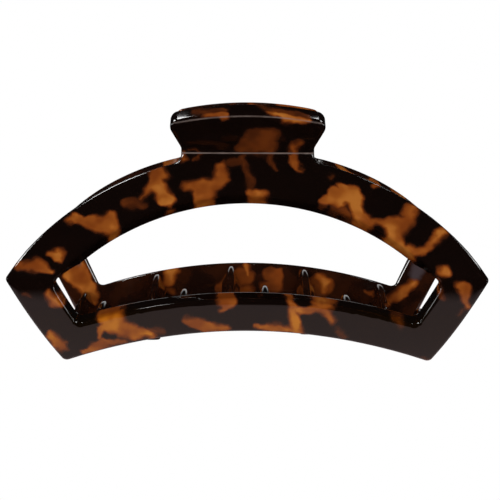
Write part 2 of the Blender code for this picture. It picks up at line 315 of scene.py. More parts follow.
AMBER_PATCHES = dict(
    left_corner=((-52.5, 30.4, 0.9), (-48.0, 29.8, 1.5), (-44.0, 31.3, 0.6)),
    left_corner_drop=((-44.8, 27.2, 0.9), (-43.0, 27.6, 1.7)),
    left_corner_tail=((-43.0, 26.2, 0.8), (-42.2, 28.9, 0.5)),
    left_arm_start=((-40.8, 18.6, 1.1), (-39.4, 17.8, 1.6)),
    left_arm=((-38.5, 18.4, 1.3), (-33.5, 19.4, 2.6)),
    left_arm_top=((-32.0, 17.6, 1.7), (-31.3, 20.0, 1.9)),
    left_arm_foot=((-34.0, 20.5, 1.4), (-30.3, 22.2, 1.2)),
    left_shoulder=((-21.8, 5.2, 1.9), (-21.4, 9.5, 2.1), (-19.2, 12.6, 2.0)),
    left_shoulder_top=((-20.6, 4.6, 1.6), (-19.7, 6.5, 1.4)),
    left_shoulder_tail=((-22.3, 9.5, 1.2), (-25.0, 12.3, 0.6)),
    crown_upper=((-6.3, 3.8, 1.6), (-6.2, 6.8, 1.8), (-8.6, 9.6, 1.7)),
    crown_arm=((-14.3, 9.2, 1.4), (-9.5, 9.3, 1.9)),
    crown_lower=((-10.4, 9.8, 2.5), (-10.1, 14.5, 2.8)),
    neck=((-15.4, 0.2, 0.6), (-15.0, 1.6, 0.8)),
    tab_left=((-9.8, -11.2, 0.9), (-5.9, -10.9, 1.5), (-5.6, -10.2, 1.2)),
    tab_right=((4.8, -12.2, 0.5), (8.6, -10.5, 1.3), (9.3, -9.6, 1.2), (14.2, -10.2, 0.8)),
    crown_middle=((0.9, 10.8, 1.0), (2.4, 11.6, 1.7), (3.4, 11.8, 1.2)),
    crescent=((12.3, -2.9, 0.7), (10.8, -1.8, 0.8), (10.6, 1.0, 0.8), (11.4, 3.0, 0.95),
        (12.4, 4.4, 0.5)),
    right_shoulder=((20.0, 11.3, 2.0), (24.5, 12.0, 2.4), (27.0, 18.0, 1.9)),
    right_shoulder_top=((22.0, 9.4, 1.2), (25.5, 10.6, 1.0)),
    right_shoulder_tail=((18.2, 12.6, 1.4), (21.5, 13.2, 1.6)),
    right_arm=((38.0, 15.2, 1.9), (37.4, 18.0, 1.7), (35.0, 19.8, 2.5)),
    right_arm_left_part=((27.5, 18.3, 1.3), (31.0, 18.8, 1.0), (34.5, 19.8, 2.8)),
    right_arm_foot=((33.8, 21.5, 2.5), (34.8, 25.0, 1.7)),
    right_arm_hook=((35.5, 26.0, 1.6), (39.8, 25.9, 1.5), (42.5, 22.8, 1.5), (44.9, 20.8, 1.3)),
    right_arm_fleck=((29.9, 8.9, 0.8), (31.0, 9.4, 0.4)),
    right_corner=((43.3, 31.3, 0.9), (45.0, 30.8, 1.5)),
    right_corner_side=((42.8, 33.4, 0.7), (43.8, 35.6, 0.8)),
    right_corner_low=((48.8, 34.6, 1.5), (49.5, 37.0, 1.3), (50.6, 39.7, 0.8)),
    left_foot=((-45.2, 36.9, 1.0), (-43.8, 38.2, 1.5), (-42.5, 39.2, 0.8)),
    bar_left_end=((-44.9, 48.3, 1.6), (-44.0, 50.3, 1.9), (-43.3, 51.8, 1.2)),
    bar_left_top=((-32.6, 42.6, 2.2), (-29.9, 43.2, 2.2)),
    bar_left=((-31.0, 44.6, 2.8), (-27.2, 46.6, 2.4), (-22.0, 47.3, 1.0)),
    bar_left_horn=((-33.5, 45.5, 1.3), (-34.2, 48.5, 0.8)),
    bar_left_hem=((-38.0, 52.6, 1.0), (-35.0, 50.9, 1.6), (-32.3, 49.8, 1.2), (-29.0, 49.3, 0.9)),
    bar_middle_left=((-14.6, 43.0, 0.7), (-12.0, 44.3, 1.7), (-9.5, 45.2, 1.7), (-5.0, 45.6, 1.2)),
    window_lip=((-6.0, 37.6, 1.8), (-4.2, 37.9, 1.8)),
    window_lip_tail=((-5.0, 39.0, 1.5), (-5.6, 40.3, 0.7)),
    bar_middle=((1.5, 45.0, 0.6), (6.0, 45.6, 1.3), (11.5, 46.4, 1.0)),
    bar_middle_right=((9.3, 38.0, 0.6), (10.6, 41.0, 1.2), (11.4, 46.5, 1.5)),
    bar_right=((12.0, 41.3, 1.1), (16.0, 40.0, 1.2), (19.0, 39.2, 1.3)),
    bar_right_top=((15.3, 37.6, 0.7), (16.8, 39.6, 1.3)),
    bar_right_tail=((17.4, 40.6, 1.5), (19.8, 43.9, 1.0)),
)

BROWN_PATCHES = dict(
    tab_block=((0.9, -5.6, 1.7), (5.6, -5.2, 2.0), (-0.4, -3.0, 2.0), (5.3, -2.4, 2.1)),
    tab_block_foot=((-2.0, -1.6, 1.6), (5.5, -1.2, 1.6)),
    tab_top_left=((-11.8, -12.4, 1.4), (-6.5, -12.6, 1.9)),
    tab_top_right=((2.4, -15.6, 0.7), (4.4, -13.4, 1.1), (9.0, -12.0, 1.2), (14.0, -11.2, 1.0)),
    crown_stem=((-1.6, 1.2, 1.1), (-0.2, 4.6, 0.8), (0.8, 8.0, 1.0), (0.9, 10.6, 0.7)),
    crown_twig=((-4.5, 2.9, 1.0), (-2.0, 2.0, 1.2)),
    crown_vein=((5.2, 0.9, 0.8), (6.6, 4.6, 0.4)),
    left_arm_drop=((-28.4, 13.7, 1.0), (-26.4, 13.5, 1.6), (-24.6, 14.0, 1.1)),
    neck_ring=((-14.2, -0.7, 0.45), (-12.5, -1.0, 0.35), (-11.2, 0.0, 0.35), (-11.6, 1.3, 0.35),
        (-13.2, 1.9, 0.4)),
    left_shoulder_link=((-25.0, 12.3, 0.7), (-26.5, 13.4, 0.7)),
    right_shoulder_shade=((20.0, 14.3, 1.3), (23.5, 16.5, 1.0)),
    right_corner_edge=((49.4, 40.8, 0.5), (48.9, 41.8, 0.4)),
    right_corner=((43.8, 35.0, 0.8), (44.6, 37.3, 0.8)),
    crown_spot=((19.3, 6.4, 0.7), (19.6, 6.6, 0.7)),
    left_foot=((-50.6, 36.9, 0.6), (-49.6, 37.5, 0.5)),
    bar_left=((-23.0, 46.0, 0.9), (-19.5, 46.3, 0.9)),
    bar_middle=((3.5, 44.6, 0.6), (7.5, 44.4, 0.7)),
    bar_right=((20.8, 45.8, 0.8), (22.8, 48.0, 0.8)),
    bar_far_right=((34.0, 41.0, 1.2), (35.2, 44.6, 1.0)),
    bar_right_end=((41.3, 54.6, 0.6), (43.2, 55.4, 0.7)),
)

BLACK_PATCHES = dict(
    right_arm_eye=((39.0, 23.2, 2.0), (42.0, 21.0, 1.2), (43.6, 18.0, 1.3)),
    right_arm_bay=((30.6, 13.7, 3.3), (33.0, 12.9, 2.5)),
    right_arm_notch=((29.6, 20.6, 1.3), (30.2, 21.6, 1.2)),
    bar_left_eye=((-32.4, 48.2, 0.9), (-31.0, 47.8, 0.9)),
)

BACK_AMBER_PATCHES = dict(
    left_post=((48.0, 36.0, 2.5), (45.5, 41.0, 3.5), (42.4, 46.0, 2.6), (41.0, 50.0, 1.6)),
    bar_left=((20.2, 40.8, 2.2), (21.0, 43.8, 2.0)),
    bar_middle_stripe=((0.6, 39.0, 1.1), (-0.3, 41.8, 0.8)),
    bar_middle_glint=((-14.2, 40.6, 0.7), (-14.6, 43.2, 0.8)),
    bar_right=((-18.8, 42.8, 1.3), (-20.6, 43.8, 1.5), (-20.2, 46.8, 1.1)),
    right_post=((-44.6, 43.8, 1.2), (-41.5, 46.5, 1.7), (-37.5, 50.0, 1.3)),
)

BACK_BROWN_PATCHES = dict(
    bar_left_low=((23.5, 46.2, 0.9), (20.0, 46.8, 1.3)),
    bar_middle_left=((6.8, 45.6, 1.9), (3.0, 43.2, 2.6), (0.2, 42.6, 2.6), (2.4, 40.8, 1.8)),
    bar_middle_low=((6.5, 46.4, 1.6), (-0.5, 46.2, 1.7)),
    bar_middle_block=((-6.2, 41.4, 2.2), (-7.8, 41.6, 2.2), (-7.6, 45.2, 2.4), (-5.4, 45.4, 2.2)),
    bar_right=((-19.0, 43.6, 2.4), (-20.6, 44.6, 2.6), (-19.4, 46.6, 2.4)),
    bar_far_right=((-32.0, 46.5, 0.9), (-35.0, 47.6, 1.3)),
    right_post_foot=((-36.5, 50.0, 1.4), (-40.5, 47.5, 1.8)),
)

# Grey painted sheen on the tops of the back jaw's posts: a reflection painted into the colour
BACK_SHEEN_PATCHES = dict(
    left_post=((46.8, 36.0, 0.9), (45.4, 38.6, 0.6)),
    right_post=((-46.5, 36.5, 1.6), (-45.0, 41.5, 1.5)),
)


# Materials

# Levels of the acetate from black to clear amber, and their colours
SHELL_COLOURS = (
    (0.0, (0.0028, 0.0018, 0.0015)),
    (0.20, (0.012, 0.0040, 0.0022)),
    (0.45, (0.080, 0.0180, 0.0045)),
    (0.70, (0.240, 0.0530, 0.0078)),
    (0.88, (0.365, 0.0970, 0.0135)),
    (1.0, (0.520, 0.1720, 0.0270)),
)
# Grey-mauve colour of the painted sheen on the back jaw's post tops
PAINTED_SHEEN_COLOUR = (0.100, 0.075, 0.083)
# Painted highlight lines in the groove and along the tab's edge: their pale colour, and the
# roughness of their haze
PAINTED_HIGHLIGHT_COLOUR = (0.20, 0.145, 0.125)
HAZE_ROUGHNESS = 0.5
# Painted glow: how the lower bar's outer face is warmed, for floor light coming through it
BAR_PAINTED_GLOW = (1.14, 1.12, 0.45)
ACETATE_IOR = 1.49

# Where a zone of the sheet starts and is full, mm inwards or down from the crease
INNER_SIDE = (1.5, 3.0)
OFF_SHEET = (SHEET + 0.1, SHEET + 0.8)
TAB_TOP = (-7.2, -8.2)
BACK_BAR = (34.0, 36.0)
FRONT_BAR = (39.0, 42.5)

# Sizes of the pattern and the polish, mm
PATCH_MERGE = 0.7
PATCH_CUT = 0.5
FREE_PATCH = 8.5
FREE_SHARE = (0.53, 0.67)
BROAD_WANDER = (3.6, (2.6, 2.6, 0.0))
FINE_WANDER = (1.1, (0.5, 0.5, 0.0))
# How softly the painted sheen fades at its edges, mm
PAINTED_SHEEN_SOFTNESS = 0.9
RIPPLE_SIZE = 9.0
RIPPLE_HEIGHT = 0.03
ACETATE_ROUGHNESS = (0.05, 0.11)


def stroke_group():
    """How far inside a tapered brush stroke a point lies, in mm."""
    group, given = new_group("brush stroke", "Shader", (
        ("point", "Vector"), ("start", "Vector"), ("end", "Vector"),
        ("width from", "Float", 1.0), ("width to", "Float", 1.0),
    ), (("inside", "Float"),))
    reach = given["point"] - given["start"]
    whole = given["end"] - given["start"]
    share = reach.reckon("DOT_PRODUCT", whole) / whole.reckon("DOT_PRODUCT", whole)
    share = add_node(group, "ShaderNodeClamp", (share,))
    away = (reach - whole * share).reckon("LENGTH")
    width = (given["width to"] - given["width from"]) * share + given["width from"]
    close_group(group, inside=width - away)
    return group


def painted(tree, point, patches):
    """Signed depth inside the nearest of the charted patches, in mm."""
    inside = None
    for brush in patches.values():
        for first, second in zip(brush, brush[1:]):
            stroke = use_group(tree, STROKES, point=point, start=(*first[:2], 0.0),
                               end=(*second[:2], 0.0), width_from=first[2],
                               width_to=second[2])["inside"]
            if inside is None:
                inside = stroke
            else:
                inside = inside.reckon("SMOOTH_MAX", stroke, PATCH_MERGE)
    return inside


def layout_group():
    """Free tortoiseshell layout for what the chart doesn't cover, as mm inside a patch."""
    group, given = new_group("free layout", "Shader", (
        ("place", "Vector"), ("patch size", "Float", 9.0), ("share", "Float", 0.5),
    ), (("inside", "Float"),))
    field = (given["place"] / given["patch size"]).noise(1.0, detail=2.2, distortion=0.7)
    close_group(group, inside=(field - given["share"]) * (given["patch size"] * 2.2))
    return group


def shell_group():
    """Colours of tortoiseshell acetate from how far inside an amber or brown patch it is."""
    group, given = new_group("tortoiseshell colours", "Shader", (
        ("place", "Vector"), ("amber", "Float", -5.0), ("brown", "Float", -5.0),
        ("least", "Float", 0.0), ("brown level", "Float", 0.56),
    ), (("colour", "Color"),))
    place = given["place"]
    ragged = place.noise(1.6).spread(0.25, 0.75, -0.14, 0.14, smooth=False)
    softness = place.noise(6.0, detail=1.0).spread(0.35, 0.65, 0.6, 1.4, smooth=False)
    outside = softness * -1.0
    amber = (given["amber"] + ragged).spread(outside, softness)
    brown = (given["brown"] + ragged).spread(outside, softness, 0.0, given["brown level"])
    clouds = place.noise(6.5).spread(0.32, 0.68, 0.68, 1.0)
    level = amber.reckon("SMOOTH_MAX", brown, 0.1) * clouds
    level = level.reckon("MAXIMUM", given["least"] * clouds)
    close_group(group, colour=colour_ramp(level, SHELL_COLOURS))
    return group


def polish_group():
    """Hand polish: soft ripples in height, and roughness with faint haze and hairlines."""
    group, given = new_group("hand polish", "Shader", (
        ("place", "Vector"), ("ripple size", "Float", 9.0),
        ("roughness low", "Float", 0.05), ("roughness high", "Float", 0.12),
    ), (("height", "Float"), ("roughness", "Float")))
    place = given["place"]
    low = given["roughness low"]
    ripple = (place / given["ripple size"]).noise(1.0, detail=1.0)
    haze = place.noise(4.0, detail=4.0, roughness=0.6).spread(0.35, 0.8)
    hairlines = (place * (0.12, 2.5, 2.5)).noise(0.5).spread(0.62, 0.75)
    wear = hairlines * 0.25 + haze
    close_group(group, height=ripple, roughness=wear * (given["roughness high"] - low) + low)
    return group


def new_material(name):
    """Empty material, its tree, and Object coordinates in mm."""
    made = bpy.data.materials.new(name)
    made.use_nodes = True
    tree = made.node_tree
    tree.nodes.clear()
    return made, tree, add_node(tree, "ShaderNodeTexCoord", output="Object") * (1.0 / MM)


def finish_material(tree, colour, roughness, height, bump_mm, **constants):
    """Principled shader at the end of a material, with its constants on its own sockets."""
    bump = add_node(tree, "ShaderNodeBump", {"Height": height, "Distance": bump_mm * MM})
    end_tree(tree, "ShaderNodeOutputMaterial", add_node(tree, "ShaderNodeBsdfPrincipled", {
        "Base Color": colour, "Roughness": roughness, "Normal": bump, **constants,
    }))


STROKES = stroke_group()
FREE_LAYOUT = layout_group()
SHELL = shell_group()
POLISH = polish_group()


def tortoiseshell(name, amber_patches, brown_patches, black_patches, sheen_patches, charted,
                  least, brown_level, inner_glow):
    """Tortoiseshell acetate: charted patches where the chart holds, a free layout elsewhere.

    charted(depth, inward) gives the share of the chart at a place. The inner side is lighter
    by inner_glow, for the light that comes through the sheet.
    """
    made, tree, place = new_material(name)
    sheet = add_node(tree, "ShaderNodeAttribute", output="Vector", attribute_name="sheet")
    across, depth, inward = sheet.split()
    over_the_top = depth.spread(*TAB_TOP, 0.0, -1.0) * inward
    point = add_node(tree, "ShaderNodeCombineXYZ", (across, depth + over_the_top))
    for period, reach in (BROAD_WANDER, FINE_WANDER):
        point = (place.noise(period, detail=1.0, output="Color") - 0.5) * reach + point
    amber = painted(tree, point, amber_patches)
    brown = painted(tree, point, brown_patches)
    if black_patches:
        black = painted(tree, point, black_patches)
        amber = amber.reckon("SMOOTH_MIN", black * -1.0, PATCH_CUT)
    free = use_group(tree, FREE_LAYOUT, place=place, patch_size=FREE_PATCH,
                     share=inward.spread(*OFF_SHEET, *FREE_SHARE))["inside"]
    share = charted(depth, inward)
    amber = share.between(free, amber)
    brown = share.between(-3.0, brown)
    colour = use_group(tree, SHELL, place=place, amber=amber, brown=brown, least=least,
                       brown_level=brown_level)["colour"]
    colour = colour * inward.spread(*INNER_SIDE, 1.0, inner_glow)
    # Painted glow on the lower bar's outer face, for floor light that comes through the sheet
    low = depth.spread(*FRONT_BAR) * inward.spread(*INNER_SIDE, 1.0, 0.0)
    colour = low.tinted(colour, BAR_PAINTED_GLOW, "MULTIPLY")
    # Painted sheen: a grey reflection painted over the back jaw's post tops
    if sheen_patches:
        painted_sheen = painted(tree, point, sheen_patches)
        painted_sheen = painted_sheen.spread(-PAINTED_SHEEN_SOFTNESS, PAINTED_SHEEN_SOFTNESS, 0.0, 0.85) * share
        colour = painted_sheen.tinted(colour, PAINTED_SHEEN_COLOUR)
    # Rougher haze, and a pale painted highlight, in the groove and along the tab's edge
    haze = edge_haze_and_painted_highlight(across, depth, inward)
    polish = use_group(tree, POLISH, place=place, ripple_size=RIPPLE_SIZE,
                       roughness_low=ACETATE_ROUGHNESS[0], roughness_high=ACETATE_ROUGHNESS[1])
    finish_material(tree, haze.tinted(colour, PAINTED_HIGHLIGHT_COLOUR),
                    haze.between(polish["roughness"], HAZE_ROUGHNESS),
                    polish["height"], RIPPLE_HEIGHT, IOR=ACETATE_IOR)
    return made


def edge_haze_and_painted_highlight(across, depth, inward):
    """Share of the thin lines in the groove and along the edge of the thumb tab: rougher
    unpolished haze, with a pale painted highlight.
    """
    groove = abs(depth).spread(0.08, 0.26, 1.0, 0.0)
    arched = across * across * (-0.5 / TAB_ARC[1]) + depth
    tab_edge = abs(arched + (TAB_LENGTH - EDGE_ROUND / 2)).spread(0.06, 0.24, 0.62, 0.0)
    patchy = add_node(across.tree, "ShaderNodeCombineXYZ", (across,)).noise(5.0)
    line = groove.reckon("MAXIMUM", tab_edge) * inward.spread(0.3, 0.8, 1.0, 0.0)
    return line * patchy.spread(0.3, 0.6, 0.45, 0.9)


def front_chart(depth, inward):
    return inward.spread(*OFF_SHEET, 1.0, 0.0)


def back_chart(depth, inward):
    return inward.spread(*INNER_SIDE) * depth.spread(*BACK_BAR) * front_chart(depth, inward)


def steel(name, colour, roughness, stretch):
    """Bright steel with fine marks drawn out along one direction."""
    made, tree, place = new_material(name)
    marks = (place * stretch).noise(0.35, detail=3.0, roughness=0.6)
    dull = place.noise(2.5, detail=3.0).spread(0.3, 0.75, 1.0, 0.72)
    tint = add_node(tree, "ShaderNodeMix", {0: 1.0, 6: (*colour, 1.0), 7: dull}, 2,
                    data_type="RGBA", blend_type="MULTIPLY")
    finish_material(tree, tint, marks.spread(0.3, 0.7, *roughness), marks, 0.004, Metallic=1.0)
    return made


# Flat sheet

def lerp(ends, share):
    return ends[0] + (ends[1] - ends[0]) * share


def arc_depth(x, arc):
    top, radius = arc
    return top + radius - sqrt(radius * radius - x * x)


def side_depth(x):
    """Depth of the straight side at half width x."""
    ends = (arc_depth(SIDE_HALF, ARCH_ARC), arc_depth(BOTTOM_HALF, BOTTOM_ARC))
    return lerp(ends, (SIDE_HALF - x) / (SIDE_HALF - BOTTOM_HALF))


def arc_corners(x_from, x_to, arc):
    """Plain points on a long arc between two half widths, clear of the corners at its ends."""
    count = max(1, round(abs(x_to - x_from) / ARC_STEP))
    spots = [lerp((x_from, x_to), (k + 1) / count) for k in range(count - 1)]
    outer_end = max(x_from, x_to) - CORNER_CLEAR
    inner_end = min(x_from, x_to)
    if inner_end > 0:
        inner_end += CORNER_CLEAR
    return [(x, arc_depth(x, arc), 0.0) for x in spots if inner_end <= x <= outer_end]


def mirrored_loop(half):
    """Whole outline from its right half, which starts and ends on the middle line."""
    return half + [(-x, depth, radius) for x, depth, radius in reversed(half[1:-1])]


def outer_corners():
    tab_low = arc_depth(TAB_HALF, TAB_ARC)
    neck_x = NECK_HALF - (TAB_HALF - NECK_HALF) / -tab_low * arc_depth(NECK_HALF, ARCH_ARC)
    return mirrored_loop([
        (0.0, TAB_ARC[0], 0.0),
        *arc_corners(0.0, TAB_HALF, TAB_ARC),
        (TAB_HALF, tab_low, TAB_CORNER),
        (neck_x, arc_depth(neck_x, ARCH_ARC), NECK_CORNER),
        *arc_corners(neck_x, SIDE_HALF, ARCH_ARC),
        (SIDE_HALF, side_depth(SIDE_HALF), SIDE_CORNER),
        (BOTTOM_HALF, side_depth(BOTTOM_HALF), BOTTOM_CORNER),
        *arc_corners(BOTTOM_HALF, 0.0, BOTTOM_ARC),
        (0.0, BOTTOM_ARC[0], 0.0),
    ])


def window_corners():
    return mirrored_loop([
        (0.0, WINDOW_TOP_ARC[0], 0.0),
        *arc_corners(0.0, WINDOW_TOP_HALF, WINDOW_TOP_ARC),
        (WINDOW_TOP_HALF, arc_depth(WINDOW_TOP_HALF, WINDOW_TOP_ARC), WINDOW_TOP_CORNER),
        (WINDOW_LOW_HALF, arc_depth(WINDOW_LOW_HALF, WINDOW_LOW_ARC), WINDOW_LOW_CORNER),
        *arc_corners(WINDOW_LOW_HALF, 0.0, WINDOW_LOW_ARC),
        (0.0, WINDOW_LOW_ARC[0], 0.0),
    ])


def rounded(corners):
    """Closed list of points from corners (x, depth, radius)."""
    points = []
    spots = [Vector((x, depth)) for x, depth, _ in corners]
    for index, here in enumerate(spots):
        radius = corners[index][2]
        if radius == 0:
            points.append(here)
            continue
        back = (spots[index - 1] - here).normalized()
        on = (spots[(index + 1) % len(spots)] - here).normalized()
        half_angle = back.angle(on) / 2
        centre = here + (back + on).normalized() * radius / sin(half_angle)
        start = here + back * radius / tan(half_angle) - centre
        end = here + on * radius / tan(half_angle) - centre
        sweep = atan2(start.cross(end), start.dot(end))
        steps = max(2, ceil(abs(degrees(sweep)) / CORNER_STEP))
        for step in range(steps + 1):
            points.append(centre + Matrix.Rotation(sweep * step / steps, 2) @ start)
    return points


def new_object(name, data):
    made = bpy.data.objects.new(name, data)
    bpy.context.scene.collection.objects.link(made)
    return made


def plain_mesh(holder):
    """Mesh of an object with its modifiers applied; the object is removed."""
    bpy.context.view_layer.update()
    evaluated = holder.evaluated_get(bpy.context.evaluated_depsgraph_get())
    mesh = bpy.data.meshes.new_from_object(evaluated)
    bpy.data.objects.remove(holder, do_unlink=True)
    return mesh


def welded(mesh):
    """Solid of a mesh with its seams closed; the mesh is removed."""
    solid = bmesh.new()
    solid.from_mesh(mesh)
    bpy.data.meshes.remove(mesh)
    bmesh.ops.remove_doubles(solid, verts=solid.verts, dist=WELD)
    return solid


def solid_mesh(name, solid):
    """Mesh of a solid with its normals outward; the solid is freed."""
    bmesh.ops.recalc_face_normals(solid, faces=solid.faces[:])
    mesh = bpy.data.meshes.new(name)
    solid.to_mesh(mesh)
    solid.free()
    return mesh


def add_spline(curve, points, cyclic):
    spline = curve.splines.new("POLY")
    spline.points.add(len(points) - 1)
    for spot, point in zip(spline.points, points):
        spot.co = (*point.to_3d(), 1.0)
    spline.use_cyclic_u = cyclic


def plate(loops, thickness, edge):
    """Closed flat plate in the XY plane with rounded edges, between an outline and its holes."""
    curve = bpy.data.curves.new("plate", "CURVE")
    curve.dimensions = "2D"
    curve.fill_mode = "BOTH"
    curve.extrude = thickness / 2 - edge
    curve.bevel_depth = edge
    curve.bevel_resolution = EDGE_STEPS
    curve.offset = -edge
    for points in loops:
        add_spline(curve, points, True)
    return welded(plain_mesh(new_object("plate", curve)))


def flat_sheet():
    """The jaw's sheet before it is bent: X across, Y down from the crease, Z inwards."""
    solid = plate([rounded(outer_corners()), rounded(window_corners())[::-1]], SHEET, EDGE_ROUND)
    bmesh.ops.translate(solid, verts=solid.verts, vec=(0.0, 0.0, SHEET / 2))
    deepest = arc_depth(BOTTOM_HALF, BOTTOM_ARC)
    for first, last, strips in STRIPS:
        for k in range(strips + 1):
            depth = lerp((first, last), k / strips)
            if depth < deepest:
                everything = solid.verts[:] + solid.edges[:] + solid.faces[:]
                bmesh.ops.bisect_plane(solid, geom=everything, dist=WELD / 10,
                                       plane_co=(0.0, depth, 0.0), plane_no=(0.0, 1.0, 0.0))
    bmesh.ops.triangulate(solid, faces=[face for face in solid.faces if len(face.verts) > 4])
    return solid_mesh("flat sheet", solid)


# Side profile

def profile_walk(depth):
    """Point (y, z) and outward tilt of the outer face, from the profile's own start."""
    stretches = (
        (PROFILE_START, -CREASE_HALF, 0.0),
        (-CREASE_HALF, CREASE_HALF, -CREASE_RADIUS),
        (CREASE_HALF, BODY_LENGTH, 0.0),
        (BODY_LENGTH, KNEE_END, KNEE_RADIUS),
        (KNEE_END, PROFILE_END, LOWER_RADIUS),
    )
    y = z = 0.0
    tilt = -radians(TAB_LEAN)
    for first, last, radius in stretches:
        run = min(depth, last) - first
        if run <= 0:
            break
        if radius == 0:
            y -= sin(tilt) * run
            z -= cos(tilt) * run
        else:
            turned = tilt - run / radius
            y -= radius * (cos(turned) - cos(tilt))
            z += radius * (sin(turned) - sin(tilt))
            tilt = turned
    return y, z, tilt


CREASE_Y, CREASE_Z = profile_walk(0.0)[:2]


def bent(x, depth, inward=0.0):
    """Point of the front jaw's sheet, mm, with the hinge axis as the origin."""
    y, z, tilt = profile_walk(depth)
    return Vector((
        x,
        y - CREASE_Y - CREASE_OFFSET + inward * cos(tilt),
        z - CREASE_Z + PIN_DROP - inward * sin(tilt),
    ))


def sheet_places(points):
    """Places (x, depth, inward) on the flat sheet of an array of bent points, mm."""
    depths = np.arange(PROFILE_START, PROFILE_END, PLACE_STEP)
    walked = np.array([profile_walk(depth) for depth in depths])
    line = walked[:, :2] - (CREASE_Y + CREASE_OFFSET, CREASE_Z - PIN_DROP)
    tilt = walked[:, 2]
    along = np.stack([-np.sin(tilt), -np.cos(tilt)], axis=1)
    across = np.stack([np.cos(tilt), -np.sin(tilt)], axis=1)
    places = np.empty_like(points)
    for start in range(0, len(points), PLACE_BLOCK):
        block = points[start:start + PLACE_BLOCK]
        apart = block[:, None, 1:] - line[None, :, :]
        nearest = np.argmin((apart ** 2).sum(axis=2), axis=1)
        rest = apart[np.arange(len(block)), nearest]
        places[start:start + PLACE_BLOCK] = np.stack([
            block[:, 0],
            depths[nearest] + (rest * along[nearest]).sum(axis=1),
            (rest * across[nearest]).sum(axis=1),
        ], axis=1)
    return places


# Bending the sheet with Geometry Nodes

def bend_group():
    """Bends a flat sheet about a line across it; what lies past the bend turns with it."""
    group, given = new_group("bend the sheet", "Geometry", (
        ("sheet", "Geometry"), ("start", "Float", 0.0), ("length", "Float", 1.0),
        ("radius", "Float", 10.0), ("way", "Float", 1.0),
    ), (("sheet", "Geometry"),))
    x, y, z = add_node(group, "GeometryNodeInputPosition").split()
    start, length, radius, way = [given[part] for part in BEND_PARTS]
    along = y * way
    past = along - start
    angle = past.reckon("MAXIMUM", 0.0).reckon("MINIMUM", length) / radius
    rest = (past - length).reckon("MAXIMUM", 0.0)
    arm = radius - z
    sine = angle.reckon("SINE")
    cosine = angle.reckon("COSINE")
    new_y = (arm * sine + along.reckon("MINIMUM", start) + rest * cosine) * way
    new_z = radius - arm * cosine + rest * sine
    place = add_node(group, "ShaderNodeCombineXYZ", (x, new_y, new_z))
    close_group(group, sheet=add_node(group, "GeometryNodeSetPosition", {
        "Geometry": given["sheet"], "Position": place,
    }))
    return group


def finished(tree, shape, finish):
    """The end of a tree: its shape made real and given its finish."""
    real = add_node(tree, "GeometryNodeRealizeInstances", (shape,))
    return add_node(tree, "GeometryNodeSetMaterial", {"Geometry": real, "Material": finish})


def bending_tree():
    """Flat sheet in, bent jaw out, set at its slope and with its finish."""
    tree, given = new_group("bent jaw", "Geometry", (
        ("sheet", "Geometry"), *[(label, "Float", size) for label, size in BEND_INPUTS.items()],
        ("stand", "Vector"), ("turn", "Vector"), ("finish", "Material"),
    ), (("sheet", "Geometry"),))
    bend = bend_group()
    shape = given["sheet"]
    for name, *_ in BENDS:
        parts = {part: given[name + " " + part] for part in BEND_PARTS}
        shape = use_group(tree, bend, sheet=shape, **parts)["sheet"]
    stood = add_node(tree, "GeometryNodeTransform", {
        "Geometry": shape, "Translation": given["stand"], "Rotation": given["turn"],
    })
    close_group(tree, sheet=finished(tree, stood, given["finish"]))
    return tree


def run_tree(holder, tree, values):
    """Mesh of an object run through a tree, its inputs set by their sockets' identifiers."""
    modifier = holder.modifiers.new(tree.name, "NODES")
    modifier.node_group = tree
    for item in tree.interface.items_tree:
        if item.in_out == "INPUT" and item.name in values:
            modifier[item.identifier] = values[item.name]
    return plain_mesh(holder)


def bent_sheet(finish):
    """The jaw's sheet with its bends, mm, the hinge axis as the origin."""
    slope = radians(BODY_SLOPE)
    down = Vector((0.0, -sin(slope), -cos(slope)))
    return run_tree(new_object("sheet", flat_sheet()), bending_tree(), {
        "stand": bent(0.0, CREASE_HALF) - down * CREASE_HALF,
        "turn": (radians(270.0 - BODY_SLOPE), 0.0, 0.0),
        "finish": finish, **BEND_INPUTS,
    })


# Teeth and lugs

def cut_corners(ring, rounds=2):
    """Closed ring of points smoothed by cutting its corners."""
    for _ in range(rounds):
        ring = [lerp(side, share) for side in zip(ring, ring[1:] + ring[:1])
                for share in (TOOTH_CORNER_CUT, 1.0 - TOOTH_CORNER_CUT)]
    return ring


def tooth_section(width, height, shrink):
    """Section of a tooth, crest at the top, as (across, up) with the crest's top at 0."""
    half = width / 2
    right = [
        (half - TOOTH_EDGE, -height),
        (half, TOOTH_EDGE - height),
        (TOOTH_WAIST * shrink / 2, -height * TOOTH_WAIST_SHARE),
        (TOOTH_CREST * shrink / 2, -TOOTH_CREST_DROP * shrink),
        (TOOTH_CREST_FLAT * shrink / 2, 0.0),
    ]
    left = [(-across, up) for across, up in reversed(right)]
    return cut_corners([Vector(point) for point in right + left])


def loft(rings):
    """Closed solid through rings of points of equal count, flat at both ends."""
    solid = bmesh.new()
    rows = [[solid.verts.new(point) for point in ring] for ring in rings]
    count = len(rows[0])
    for row, following in zip(rows, rows[1:]):
        for k in range(count):
            after = (k + 1) % count
            solid.faces.new((row[k], row[after], following[after], following[k]))
    solid.faces.new(reversed(rows[0]))
    solid.faces.new(rows[-1])
    return solid


